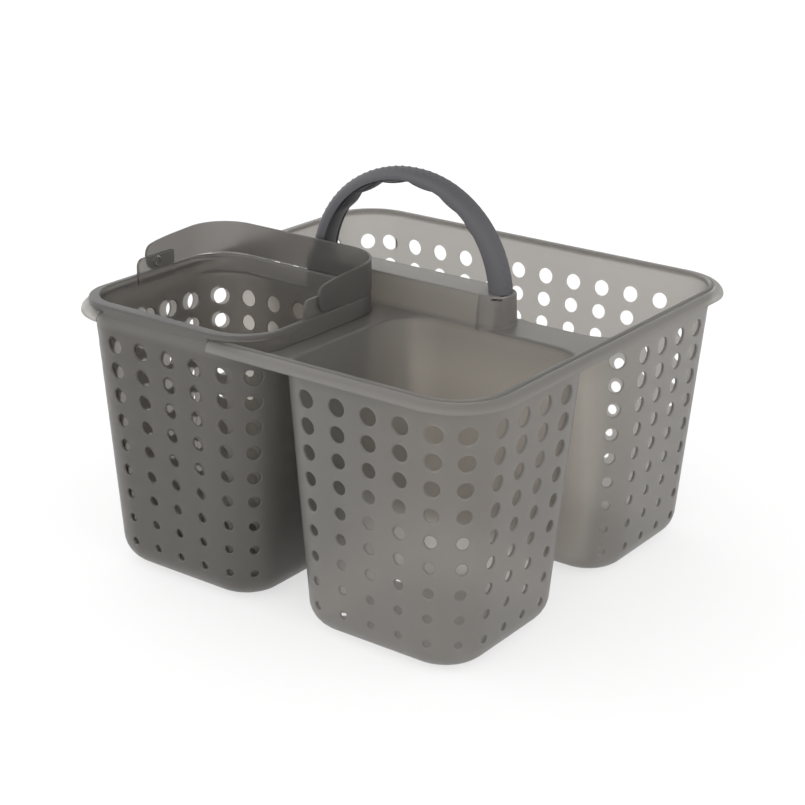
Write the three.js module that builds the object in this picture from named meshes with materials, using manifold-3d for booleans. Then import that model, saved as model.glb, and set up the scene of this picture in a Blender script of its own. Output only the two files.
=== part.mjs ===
// Shower caddy: one moulded tote with three perforated pots and a fixed arched
// carrying handle, and a lift-out basket with its own swing bail in the front left pot.
// Millimetres, +Z up. Origin: centre of the footprint on the floor. +X runs along the
// handle, -Y is the long front with the two small pots, +Y the full-width back pot.
import * as THREE from 'three';
import { mergeVertices } from 'three/addons/utils/BufferGeometryUtils.js';
import Module from 'manifold-3d';

const wasm = await Module();
wasm.setup();

// ---------------------------------------------------------------- driving dimensions
const REF_Z = 146.7;          // level of the top row of holes, where wall positions are given
const DRAFT = 0.059;          // walls lean out by this much per mm of height
const WALL = 2.0;             // moulded wall
const HALF_X = 141.0;         // outer wall, half width at REF_Z
const HALF_Y = 142.5;         // outer wall, half depth at REF_Z
const R_OUTER = 30.0;         // plan radius of the tote's outer corners
const R_GAP = 28.0;           // plan radius of the corners beside the gaps
const FILLET = 17.0;          // radius between a pot's wall and its floor
const LEDGE_Z = 160.5;        // top of the web that joins the pots
const RIM_Z = 168.2;          // top of the rim
const RIM_OVER = 9.1;         // rim overhang beyond the outer wall
const RIM_DROP = 6.0;         // height of the rim's outer skirt
const A_X0 = 7.8;             // left wall of the front right pot at REF_Z
const FRONT_Y1 = -13.8;       // back wall of the two front pots at REF_Z
const B_X1 = -4.6;            // right wall of the front left pot at REF_Z
const C_Y0 = 12.9;            // front wall of the full-width back pot at REF_Z
const BRIDGE_Z = 180.0;       // top of the raised bridge that carries the handle
const BRIDGE_HALF = 75.0;     // half length of the bridge, whose round ends take the handle's feet
const BRIDGE_TOP_Y = [-12.0, 10.3];  // its top is narrower than its root
const NOTCH = [-116, -31.5];  // the rim is left out here so that the basket's lip can be gripped

const ROW_PITCH = 16.0, ROWS = 9;
const HOLE_TOP = 10.8, HOLE_LOW = 4.6;   // hole diameters, top and bottom row
const HOLE_SIDES = 4;
const PIERCE_TOTE = false, PIERCE_BASKET = false;

const ARC_Z = 172.0;          // centre of the handle's arc
const ARC_R = 72.0;           // crest of the grip
const GRIP_W = 16.0;
const ARC_IN_TOP = 65.2, ARC_IN_LEG = 62.5;  // inner edge of the grip at the top and at the feet

const BK_X = -72.9, BK_Y = -78.15;       // centre of the lift-out basket
const BK_HX = 65.4, BK_HY = 61.6;        // its outer wall, half sizes at REF_Z
const BK_WALL = 1.8, BK_R = 26.8, BK_FLOOR = 2.5, BK_FILLET = 16.5, BK_TOP = 172.0;
const BK_ROW_Z = 143.2, BK_ROWS = 8;
const PIVOT_Y = -76.4, PIVOT_Z = 178.2;  // bail axis
const BAIL_T = 1.8, BAIL_Z0 = 172.4, BAIL_Z1 = 193.0;
const PIN_R = 2.6, EAR_HOLE_R = 3.0;

// ---------------------------------------------------------------- small geometry helpers
function ringLoft(rings) {
  // closed loft through rings of equal point count, listed from the bottom up and
  // counter-clockwise from above, with a flat cap at each end
  const n = rings[0].length, pos = [], idx = [];
  for (const r of rings) for (const p of r) pos.push(p[0], p[1], p[2]);
  for (let k = 0; k + 1 < rings.length; k++)
    for (let i = 0; i < n; i++) {
      const j = (i + 1) % n, a = k * n + i, b = k * n + j, c = a + n, d = b + n;
      idx.push(a, b, d, a, d, c);
    }
  const cap = (k, up) => {
    const flat = rings[k].map((p) => new THREE.Vector2(p[0], p[1]));
    for (const t of THREE.ShapeUtils.triangulateShape(flat, []))
      idx.push(...(up ? [t[0], t[1], t[2]] : [t[2], t[1], t[0]]).map((v) => k * n + v));
  };
  cap(0, false);
  cap(rings.length - 1, true);
  const g = new THREE.BufferGeometry();
  g.setAttribute('position', new THREE.Float32BufferAttribute(pos, 3));
  g.setIndex(idx);
  return g;
}
function solid(geometry) {
  let g = geometry.clone();
  g.deleteAttribute('normal'); g.deleteAttribute('uv');
  g = mergeVertices(g, 1e-5);
  return new wasm.Manifold(new wasm.Mesh({
    numProp: 3,
    vertProperties: new Float32Array(g.attributes.position.array),
    triVerts: new Uint32Array(g.index.array),
  }));
}
function geometryOf(m) {
  const mesh = m.getMesh();
  const g = new THREE.BufferGeometry();
  g.setAttribute('position', new THREE.BufferAttribute(new Float32Array(mesh.vertProperties), 3));
  g.setIndex(new THREE.BufferAttribute(new Uint32Array(mesh.triVerts), 1));
  const flat = g.toNonIndexed();
  flat.computeVertexNormals();
  return flat;
}
function outline(x0, x1, y0, y1, radii, z, seg = 5) {
  // rounded rectangle, counter-clockwise; radii in the order front right, back right, back left, front left
  const pts = [];
  const corner = (cx, cy, r, a0) => {
    for (let i = 0; i <= seg; i++) {
      const a = ((a0 + (90 * i) / seg) * Math.PI) / 180;
      pts.push([cx + r * Math.cos(a), cy + r * Math.sin(a), z]);
    }
  };
  corner(x1 - radii[0], y0 + radii[0], radii[0], -90);
  corner(x1 - radii[1], y1 - radii[1], radii[1], 0);
  corner(x0 + radii[2], y1 - radii[2], radii[2], 90);
  corner(x0 + radii[3], y0 + radii[3], radii[3], 180);
  return pts;
}
function potSolid(w, inset, zFloor, zTop, fillet, seg = 5) {
  // tapered pot with a rounded floor edge. w = {x0,x1,y0,y1,r:[4]} at REF_Z
  const rings = [], lean = (z) => DRAFT * (REF_Z - z);
  const ring = (z, s, shrink) => outline(w.x0 + s, w.x1 - s, w.y0 + s, w.y1 - s,
    w.r.map((r) => Math.max(r - inset - shrink, 1)), z, seg);
  const zs = zFloor + fillet, s0 = inset + lean(zs);
  for (const a of [90, 62, 35, 12]) {
    const t = (a * Math.PI) / 180, cut = fillet * (1 - Math.cos(t));
    rings.push(ring(zFloor + fillet * (1 - Math.sin(t)), s0 + cut, cut));
  }
  rings.push(ring(zs, s0, 0));
  rings.push(ring(zTop, inset + lean(zTop), 0));
  return solid(ringLoft(rings));
}
function trayLoft(grow, z0, z1, seg = 5) {
  // the tote's whole outline between two levels, grown (or shrunk) sideways
  const r = Math.max(R_OUTER + grow, 1);
  const at = (z) => {
    const s = DRAFT * (REF_Z - z) - grow;
    return outline(-HALF_X + s, HALF_X - s, -HALF_Y + s, HALF_Y - s, [r, r, r, r], z, seg);
  };
  return solid(ringLoft([at(z0), at(z1)]));
}
function slab(hx0, hx1, hy0, hy1, r, z0, z1, seg = 5) {
  return solid(ringLoft([outline(hx0, hx1, hy0, hy1, [r, r, r, r], z0, seg), outline(hx0, hx1, hy0, hy1, [r, r, r, r], z1, seg)]));
}
function box(x0, x1, y0, y1, z0, z1) {
  const g = new THREE.BoxGeometry(x1 - x0, y1 - y0, z1 - z0);
  g.translate((x0 + x1) / 2, (y0 + y1) / 2, (z0 + z1) / 2);
  return solid(g);
}
function rod(y, z, r, x0, x1, sides = 14) {
  const g = new THREE.CylinderGeometry(r, r, x1 - x0, sides);
  g.rotateZ(Math.PI / 2);
  g.translate((x0 + x1) / 2, y, z);
  return solid(g);
}
function prismX(yz, x0, x1) {
  // outline in the Y-Z plane, counter-clockwise seen from +X, extruded along X
  const g = new THREE.ExtrudeGeometry(new THREE.Shape(yz.map((p) => new THREE.Vector2(p[0], p[1]))), { depth: x1 - x0, bevelEnabled: false });
  g.applyMatrix4(new THREE.Matrix4().set(0, 0, 1, x0, 1, 0, 0, 0, 0, 1, 0, 0, 0, 0, 0, 1));
  return solid(g);
}
function hole(x, y, z, nx, ny, d) {
  // a pierced hole through a wall, square on its corner, with the round hole's area
  const r = (d / 2) * Math.sqrt((2 * Math.PI) / (HOLE_SIDES * Math.sin((2 * Math.PI) / HOLE_SIDES)));
  const g = new THREE.CylinderGeometry(r, r, 12, HOLE_SIDES);
  g.rotateX(Math.PI / 2);                       // along Y
  g.rotateZ(Math.atan2(ny, nx) - Math.PI / 2);  // along the wall's normal
  g.translate(x, y, z);
  return solid(g);
}
const dia = (k, rows) => HOLE_TOP + ((HOLE_LOW - HOLE_TOP) * k) / (rows - 1);

// ---------------------------------------------------------------- the moulded tote
const POT_A = { x0: A_X0, x1: HALF_X, y0: -HALF_Y, y1: FRONT_Y1, r: [R_OUTER, R_GAP, R_GAP, R_GAP] };
const POT_B = { x0: -HALF_X, x1: B_X1, y0: -HALF_Y, y1: FRONT_Y1, r: [R_GAP, R_GAP, R_GAP, R_OUTER] };
const POT_C = { x0: -HALF_X, x1: HALF_X, y0: C_Y0, y1: HALF_Y, r: [R_GAP, R_OUTER, R_OUTER, R_GAP] };

// hole columns: [x, y, normal x, normal y, how x and y move per row]
function columns() {
  const c = [];
  const flat = (x, y, nx, ny, drift) => c.push([x, y, nx, ny, nx ? -nx * DRAFT * ROW_PITCH : drift, ny ? -ny * DRAFT * ROW_PITCH : drift]);
  const corner = (cx, cy, r, deg, sx, sy) => {
    const a = (deg * Math.PI) / 180;
    c.push([cx + r * Math.cos(a), cy + r * Math.sin(a), Math.cos(a), Math.sin(a), -sx * DRAFT * ROW_PITCH, -sy * DRAFT * ROW_PITCH]);
  };
  for (let i = 0; i < 5; i++) flat(32.5 + 21.3 * i, -HALF_Y, 0, -1, 0.35 - 0.291 * i);
  for (let i = 0; i < 5; i++) flat(-110.7 + 21.03 * i, -HALF_Y, 0, -1, 0.54 - 0.297 * i);
  for (const s of [1, -1]) {
    for (let i = 0; i < 4; i++) flat(s * HALF_X, -110.96 + 21.55 * i, s, 0, 0.218 - 0.29 * i);
    for (let i = 0; i < 4; i++) flat(s * HALF_X, 42.2 + 21.67 * i, s, 0, 0.666 - 0.257 * i);
    corner(s * (HALF_X - R_OUTER), -HALF_Y + R_OUTER, R_OUTER, s > 0 ? -41 : 221, s, -1);
    corner(s * (HALF_X - R_GAP), C_Y0 + R_GAP, R_GAP, s > 0 ? -41 : 221, s, -1);
    corner(s * (HALF_X - R_OUTER), HALF_Y - R_OUTER, R_OUTER, s > 0 ? 45 : 135, s, 1);
  }
  corner(B_X1 - R_GAP, -HALF_Y + R_GAP, R_GAP, -41, 1, -1);
  for (let i = 0; i < 12; i++) flat(-118.25 + 21.5 * i, HALF_Y, 0, 1, 1.7 - 0.309 * i);
  return c;
}
function toteHoles() {
  const list = [];
  for (const [x, y, nx, ny, dx, dy] of columns())
    for (let k = 0; k < ROWS; k++)
      list.push(hole(x + dx * k, y + dy * k, REF_Z - ROW_PITCH * k, nx, ny, dia(k, ROWS)));
  return list;
}

function makeTote() {
  const high = 200;
  let body = potSolid(POT_A, 0, 0, LEDGE_Z - 1, FILLET)
    .add(potSolid(POT_B, 0, 0, LEDGE_Z - 1, FILLET))
    .add(potSolid(POT_C, 0, 0, LEDGE_Z - 1, FILLET));
  body = body.add(trayLoft(0.08, LEDGE_Z - 2.2, RIM_Z - 0.15));                       // web and upper wall
  const rimX = HALF_X + RIM_OVER, rimY = HALF_Y + RIM_OVER - 0.3, rimR = R_OUTER + RIM_OVER;
  const skirt = slab(-rimX, rimX, -rimY, rimY, rimR, RIM_Z - RIM_DROP, RIM_Z)
    .subtract(slab(-rimX + 2, rimX - 2, -rimY + 2, rimY - 2, rimR - 2, RIM_Z - RIM_DROP - 1, RIM_Z - 2.1));
  body = body.add(skirt);
  body = body.subtract(trayLoft(-WALL + 0.08, LEDGE_Z, high));                        // open tray above the web
  // bridge that carries the handle, with its socket ribs
  const bridge = (x, y0, y1, z0, z1) => solid(ringLoft([
    outline(-x + 0.6, x - 0.6, y0, y1, [12, 12, 12, 12], z0),
    outline(-x, x, BRIDGE_TOP_Y[0], BRIDGE_TOP_Y[1], [10.5, 10.5, 10.5, 10.5], z1),
  ]));
  const yA = FRONT_Y1 - WALL + DRAFT * (LEDGE_Z - REF_Z), yC = C_Y0 + WALL - DRAFT * (LEDGE_Z - REF_Z);
  body = body.add(bridge(BRIDGE_HALF, yA + 0.05, yC - 0.05, LEDGE_Z - 1.5, BRIDGE_Z));
  body = body.subtract(potSolid(POT_A, WALL, WALL, high, FILLET - WALL))
    .subtract(potSolid(POT_B, WALL, WALL, high, FILLET - WALL))
    .subtract(potSolid(POT_C, WALL, WALL, high, FILLET - WALL));
  for (const [x0, x1] of [[-68.4, -59], [-57, 57], [59, 68.4]])
    body = body.subtract(box(x0, x1, BRIDGE_TOP_Y[0] + 2.2, BRIDGE_TOP_Y[1] - 2.2, LEDGE_Z - 8, BRIDGE_Z - 2));
  for (const s of [-1, 1])
    body = body.subtract(box(s > 0 ? 68 : -71.95, s > 0 ? 71.95 : -68, -5.95, 5.85, LEDGE_Z - 8, BRIDGE_Z - 3.9));
  for (const s of [-1, 1])                                                     // sockets for the handle's tongues
    body = body.subtract(box(s > 0 ? 62.1 : -70.9, s > 0 ? 70.9 : -62.1, -5.9, 5.9, BRIDGE_Z - 4, BRIDGE_Z + 2));
  body = body.subtract(box(NOTCH[0], NOTCH[1], -170, -HALF_Y - 1.5, 150, 175)); // finger notch in the rim
  if (PIERCE_TOTE) for (const h of toteHoles()) body = body.subtract(h);
  return body;
}

// ---------------------------------------------------------------- fixed arched handle
const TH0 = Math.asin((BRIDGE_Z - 1.2 - ARC_Z) / ARC_R);   // the sweep starts low and is cut level below
const innerR = (th) => {
  const t = Math.min(1, Math.max(0, (Math.sin(th) - Math.sin(TH0)) / (1 - Math.sin(TH0))));
  return ARC_IN_LEG + (ARC_IN_TOP - ARC_IN_LEG) * t;
};
function arcSweep(section, steps) {
  // section(theta) gives [y, r] points, clockwise seen along the sweep, swept in the X-Z plane
  const rings = [];
  for (let i = 0; i <= steps; i++) {
    const th = Math.PI - TH0 - ((Math.PI - 2 * TH0) * i) / steps;
    rings.push(section(th).map(([y, r]) => [r * Math.cos(th), y, ARC_Z + r * Math.sin(th)]));
  }
  const n = rings[0].length, pos = rings.flat(2), idx = [];
  for (let k = 0; k < steps; k++)
    for (let i = 0; i < n; i++) {
      const j = (i + 1) % n, a = k * n + i, b = k * n + j;
      idx.push(a, b, b + n, a, b + n, a + n);
    }
  const flat = section(TH0).map(([y, r]) => new THREE.Vector2(y, r));
  for (const t of THREE.ShapeUtils.triangulateShape(flat, [])) {
    idx.push(t[2], t[1], t[0]);
    idx.push(steps * n + t[0], steps * n + t[1], steps * n + t[2]);
  }
  const g = new THREE.BufferGeometry();
  g.setAttribute('position', new THREE.Float32BufferAttribute(pos, 3));
  g.setIndex(idx);
  return solid(g);
}
function gripSection(th) {
  // D-shaped: a full round outside, and a channel inside that holds the core
  const w = GRIP_W / 2, ri = innerR(th), lip = 1.0, t = 2.2, r0 = ri + 0.8, top = ARC_R - 3.7;
  const pts = [[-w, ri], [-w + lip, ri], [-w + t, top], [w - t, top], [w - lip, ri], [w, ri]];
  for (let i = 0; i <= 8; i++) {
    const a = (Math.PI * i) / 8, c = Math.cos(a), s = Math.max(0, Math.sin(a));
    pts.push([w * Math.sign(c) * Math.abs(c) ** 0.8, r0 + (ARC_R - r0) * s ** 0.8]);
  }
  return pts;
}
function coreSection(th) {
  const w = GRIP_W / 2 - 1.5, wt = GRIP_W / 2 - 2.65, top = ARC_R - 4.15;
  const wave = Math.sin(th) > 0.55 ? 1.2 * (1 - Math.cos(((th - Math.PI / 2) * ARC_IN_TOP * 2 * Math.PI) / 22)) * Math.min(1, (Math.sin(th) - 0.55) * 6) : 0;
  const low = innerR(th) - 0.4 - wave;
  return [[-w + 1, low], [w - 1, low], [w, low + 1], [wt, top], [-wt, top], [-w, low + 1]];
}
const level = () => box(-100, 100, -20, 20, 140, BRIDGE_Z + 0.3);
function makeGrip() { return arcSweep(gripSection, 28).subtract(level()); }
function makeCore() {
  let core = arcSweep(coreSection, 40).subtract(level());
  for (const s of [-1, 1])
    core = core.add(box(s > 0 ? 62.5 : -70.5, s > 0 ? 70.5 : -62.5, -5.5, 5.5, 165, BRIDGE_Z))
      .add(box(s > 0 ? 62.5 : -66.9, s > 0 ? 66.9 : -62.5, -5.3, 5.3, BRIDGE_Z - 1, BRIDGE_Z + 2))
      .add(box(s > 0 ? 69 : -71.6, s > 0 ? 71.6 : -69, -4, 4, 170, 174.5));   // snap barb under the socket's edge
  return core;
}

// ---------------------------------------------------------------- lift-out basket
const BK = { x0: BK_X - BK_HX, x1: BK_X + BK_HX, y0: BK_Y - BK_HY, y1: BK_Y + BK_HY, r: [BK_R, BK_R, BK_R, BK_R] };
function makeBasket() {
  let b = potSolid(BK, 0, BK_FLOOR, BK_TOP - 0.6, BK_FILLET);
  // flange over the rim, resting band over the web, and the front grip lip
  const fr = [BK_X - 69.6, BK_X + 68.4, -147.0, -14.9];
  b = b.add(slab(fr[0], fr[1], fr[2], fr[3], 29, 168.6, BK_TOP));
  const band = slab(-137.5, BK_X + 68.3, -137.5, -15.0, 27, 161.0, 169)
    .subtract(box(-200, -60, -200, -60, 150, 168.65)).subtract(box(-200, -113, -200, 0, 150, 168.65)).subtract(box(-60, 10, -200, -108, 150, 168.65));
  b = b.add(band);
  b = b.add(box(-107, -38, -147.0, -145.3, 165.8, 169));
  for (const s of [-1, 1]) {                                                    // ears that carry the bail
    const xo = BK_X + s * 66.1, xi = BK_X + s * 63.9;
    const ear = [[PIVOT_Y - 16, 166]];
    ear.push([PIVOT_Y + 16, 166], [PIVOT_Y + 16, 178.5], [PIVOT_Y + 14.6, 181.0], [PIVOT_Y + 12, 182.2],
      [PIVOT_Y - 12, 182.2], [PIVOT_Y - 14.6, 181.0], [PIVOT_Y - 16, 178.5]);
    b = b.add(prismX(ear, Math.min(xo, xi), Math.max(xo, xi)));
  }
  b = b.subtract(potSolid(BK, BK_WALL, BK_FLOOR + BK_WALL, 167, BK_FILLET - BK_WALL));
  const inn = (z) => { const s = BK_WALL - 0.07 + DRAFT * (REF_Z - z); return outline(BK.x0 + s, BK.x1 - s, BK.y0 + s, BK.y1 - s, BK.r.map((r) => r - BK_WALL), z); };
  // above the ears' feet the mouth is cut clear of the ears
  const mouth = solid(ringLoft([inn(166.5), inn(200)]));
  const keep = prismX([[PIVOT_Y - 17, 160], [PIVOT_Y + 17, 160], [PIVOT_Y + 17, 200], [PIVOT_Y - 17, 200]], BK_X - 66.1, BK_X - 63.9)
    .add(prismX([[PIVOT_Y - 17, 160], [PIVOT_Y + 17, 160], [PIVOT_Y + 17, 200], [PIVOT_Y - 17, 200]], BK_X + 63.9, BK_X + 66.1));
  b = b.subtract(mouth.subtract(keep));
  b = b.subtract(rod(PIVOT_Y, PIVOT_Z, EAR_HOLE_R, BK_X - 70, BK_X - 60)).subtract(rod(PIVOT_Y, PIVOT_Z, EAR_HOLE_R, BK_X + 60, BK_X + 70));
  const cols = [];
  for (let i = 0; i < 5; i++) { const x = BK_X - 40 + 20 * i; cols.push([x, BK.y0, 0, -1, (0.6 - 0.3 * i), 1], [x, BK.y1, 0, 1, (0.6 - 0.3 * i), -1]); }
  for (let i = 0; i < 4; i++) { const y = BK_Y - 29.6 + 19.7 * i; cols.push([BK.x0, y, -1, 0, 1, (0.45 - 0.3 * i)], [BK.x1, y, 1, 0, -1, (0.45 - 0.3 * i)]); }
  for (const [sx, sy] of [[1, 1], [1, -1], [-1, 1], [-1, -1]])
    cols.push([BK_X + sx * (BK_HX - BK_R * 0.293), BK_Y + sy * (BK_HY - BK_R * 0.293), sx * Math.SQRT1_2, sy * Math.SQRT1_2, -sx * 0.94, -sy * 0.94]);
  for (const [x, y, nx, ny, dx, dy] of PIERCE_BASKET ? cols : [])
    for (let k = 0; k < BK_ROWS; k++)
      b = b.subtract(hole(x + (nx && !ny ? -nx * DRAFT * ROW_PITCH : dx) * k, y + (ny && !nx ? -ny * DRAFT * ROW_PITCH : dy) * k,
        BK_ROW_Z - ROW_PITCH * k, nx, ny, dia(k, 9)));
  return b;
}

// ---------------------------------------------------------------- bail of the basket
function makeBail() {
  const xo = 68.3, back = -14.7, r = 27;
  const plan = (g, z) => {                       // outline grown inwards by g
    const pts = [], cx = xo - r, cy = back - r, rr = r - g;
    pts.push([BK_X + xo - g, -110]);
    for (let i = 0; i <= 8; i++) { const a = (Math.PI / 2) * (i / 8); pts.push([BK_X + cx + rr * Math.cos(a), cy + rr * Math.sin(a)]); }
    for (let i = 0; i <= 8; i++) { const a = Math.PI / 2 + (Math.PI / 2) * (i / 8); pts.push([BK_X - cx + rr * Math.cos(a), cy + rr * Math.sin(a)]); }
    pts.push([BK_X - xo + g, -110]);
    return pts.map((p) => [p[0], p[1], z]);
  };
  let band = solid(ringLoft([plan(0, BAIL_Z0 - 5), plan(0, BAIL_Z1 + 5)])).subtract(solid(ringLoft([plan(BAIL_T, BAIL_Z0 - 6), plan(BAIL_T, BAIL_Z1 + 6)]).translate(0, -0.01, 0)));
  // side view: arm ends are round about the pivot below and in front, the top rises to the back
  const side = [];
  for (let i = 0; i <= 5; i++) { const a = Math.PI + (Math.PI / 2) * (i / 5); side.push([PIVOT_Y + 5.8 * Math.cos(a), PIVOT_Z + 5.8 * Math.sin(a)]); }
  side.push([0, BAIL_Z0], [0, BAIL_Z1], [-34, BAIL_Z1], [PIVOT_Y + 6, 190.0], [PIVOT_Y + 1, 189.2], [PIVOT_Y - 3.2, 186.6], [PIVOT_Y - 5.8, 183]);
  band = band.intersect(prismX(side, BK_X - 90, BK_X + 90));
  for (const s of [-1, 1]) {
    const a = BK_X + s * 63.0, c = BK_X + s * (xo - 0.6);
    band = band.add(rod(PIVOT_Y, PIVOT_Z, PIN_R, Math.min(a, c), Math.max(a, c)));
  }
  return band;
}

// ---------------------------------------------------------------- assembly
const SMOKE = { color: 0x78736d, roughness: 0.42, metalness: 0 };
const group = new THREE.Group();
function put(name, m, look) {
  const mesh = new THREE.Mesh(geometryOf(m), new THREE.MeshStandardMaterial(look));
  mesh.name = name;
  group.add(mesh);
}
put('caddy_body', makeTote(), SMOKE);
put('handle_core', makeCore(), { color: 0x3f3e41, roughness: 0.6, metalness: 0 });
put('handle_grip', makeGrip(), { color: 0x4b4a4d, roughness: 0.8, metalness: 0 });
put('lift_out_basket', makeBasket(), { color: 0x6a655f, roughness: 0.42, metalness: 0 });
put('basket_bail', makeBail(), { color: 0x67625d, roughness: 0.42, metalness: 0 });

export default group;
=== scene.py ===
import math
import bmesh
import bpy
from mathutils import Matrix, Vector


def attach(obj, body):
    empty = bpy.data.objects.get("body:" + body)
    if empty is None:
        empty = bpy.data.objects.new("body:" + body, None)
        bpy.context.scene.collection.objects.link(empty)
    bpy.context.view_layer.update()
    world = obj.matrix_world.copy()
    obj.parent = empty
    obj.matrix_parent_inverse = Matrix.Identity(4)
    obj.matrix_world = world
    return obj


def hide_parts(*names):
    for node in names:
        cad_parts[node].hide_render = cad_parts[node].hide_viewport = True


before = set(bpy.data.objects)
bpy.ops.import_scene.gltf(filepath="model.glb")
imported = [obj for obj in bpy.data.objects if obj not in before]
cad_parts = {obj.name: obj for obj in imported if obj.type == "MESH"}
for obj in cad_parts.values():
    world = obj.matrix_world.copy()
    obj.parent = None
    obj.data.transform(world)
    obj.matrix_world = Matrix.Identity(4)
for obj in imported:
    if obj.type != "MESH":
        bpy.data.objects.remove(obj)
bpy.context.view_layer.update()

MM = 0.001

# ------------------------------------------------------------------ dimensions, mm, row frame
REF_Z, DRAFT = 146.7, 0.059
HALF_X, HALF_Y, R_OUT, R_GAP = 141.0, 142.5, 30.0, 28.0
WALL, FILLET = 2.0, 17.5
LEDGE, RIM_TOP = 160.5, 168.2
TILT = math.atan(DRAFT)
BK_X, BK_Y, BK_HX, BK_HY = -72.9, -78.15, 65.4, 61.6
PIV_Y, PIV_Z = -76.4, 178.2
LEG_Z, BRIDGE_Z = 172.0, 180.0

col = bpy.context.scene.collection


# ------------------------------------------------------------------ mesh helpers
def make(name, verts, faces):
    me = bpy.data.meshes.new(name)
    me.from_pydata([(x * MM, y * MM, z * MM) for x, y, z in verts], [], faces)
    me.validate()
    me.update()
    o = bpy.data.objects.new(name, me)
    col.objects.link(o)
    return o


def drop(o):
    me = o.data
    bpy.data.objects.remove(o)
    bpy.data.meshes.remove(me)


def boolean(a, b, op="UNION", keep=False):
    m = a.modifiers.new("cut", "BOOLEAN")
    m.operation, m.object, m.solver = op, b, "MANIFOLD"
    dg = bpy.context.evaluated_depsgraph_get()
    me = bpy.data.meshes.new_from_object(a.evaluated_get(dg))
    a.modifiers.clear()
    if len(me.polygons) < 8:
        raise RuntimeError("boolean %s of %s and %s came out empty" % (op, a.name, b.name))
    old = a.data
    a.data = me
    me.name = a.name
    bpy.data.meshes.remove(old)
    if not keep:
        drop(b)
    return a


def loft(name, rings, caps=True, loop=False):
    """Closed solid through rings of equal point count; each ring counter-clockwise seen from its end."""
    n = len(rings[0])
    verts = [p for r in rings for p in r]
    faces = []
    count = len(rings)
    for k in range(count if loop else count - 1):
        k2 = (k + 1) % count
        for i in range(n):
            j = (i + 1) % n
            faces.append((k * n + i, k * n + j, k2 * n + j, k2 * n + i))
    if caps and not loop:
        faces.append(tuple(range(n - 1, -1, -1)))
        faces.append(tuple((count - 1) * n + i for i in range(n)))
    return make(name, verts, faces)


def outline(x0, x1, y0, y1, radii, z, seg=14):
    pts = []
    for cx, cy, r, a0 in ((x1 - radii[0], y0 + radii[0], radii[0], -90), (x1 - radii[1], y1 - radii[1], radii[1], 0),
                          (x0 + radii[2], y1 - radii[2], radii[2], 90), (x0 + radii[3], y0 + radii[3], radii[3], 180)):
        for i in range(seg + 1):
            a = math.radians(a0 + 90 * i / seg)
            pts.append((cx + r * math.cos(a), cy + r * math.sin(a), z))
    return pts


def box(name, x0, x1, y0, y1, z0, z1, r=0.0):
    if r:
        return loft(name, [outline(x0, x1, y0, y1, [r] * 4, z, 6) for z in (z0, z1)])
    q = [(x0, y0), (x1, y0), (x1, y1), (x0, y1)]
    return loft(name, [[(x, y, z) for x, y in q] for z in (z0, z1)])


def rod_x(name, y, z, sections, n=32):
    """Solid of revolution about a line along X: sections are (x, radius) with x rising."""
    rings = [[(x, y + r * math.cos(2 * math.pi * i / n), z + r * math.sin(2 * math.pi * i / n)) for i in range(n)] for x, r in sections]
    return loft(name, rings)


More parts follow.
